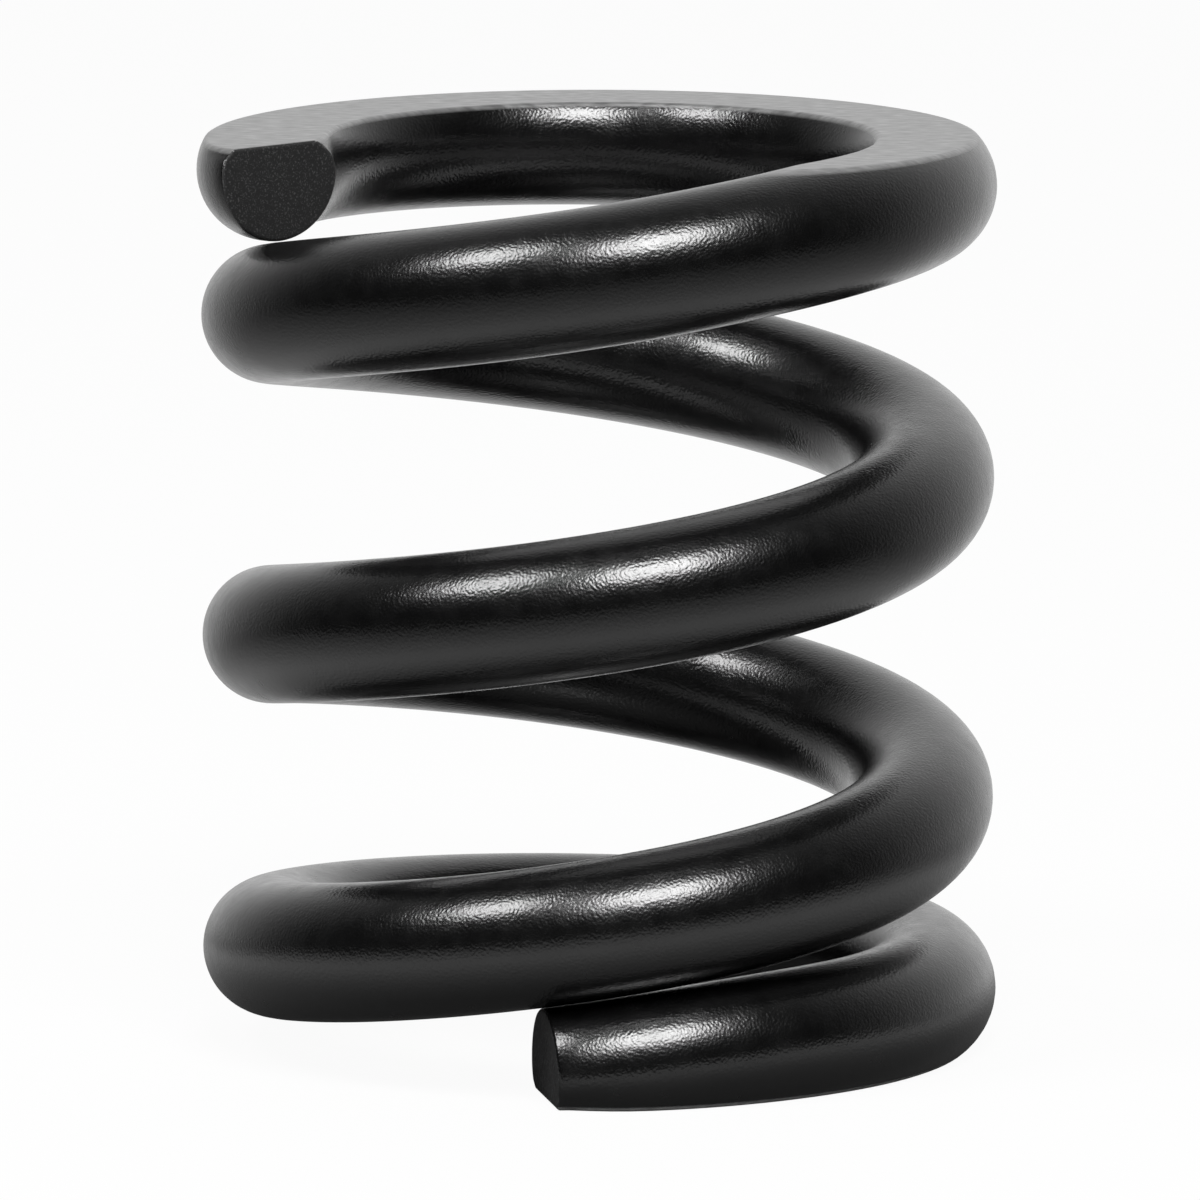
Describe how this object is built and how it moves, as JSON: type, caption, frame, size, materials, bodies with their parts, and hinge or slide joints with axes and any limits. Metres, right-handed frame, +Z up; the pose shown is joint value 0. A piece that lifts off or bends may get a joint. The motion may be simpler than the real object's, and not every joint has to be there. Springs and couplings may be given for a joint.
{
  "type": "compression spring",
  "caption": "Short helical compression spring of heavy round wire, right-hand wound, with closed ends ground flat, for pressing a slip clutch's friction plates together.",
  "frame": {"origin": "on the coil axis, in the plane of the lower ground face", "axes": "+Z up the coil axis to the upper ground face; -Y towards the side the picture shows; +X to its right"},
  "size_m": [0.0288, 0.0288, 0.0331],
  "materials": {
    "black_coat": "satin"
  },
  "bodies": {
    "root": {"spring": "black_coat"}
  },
  "joints": []
}
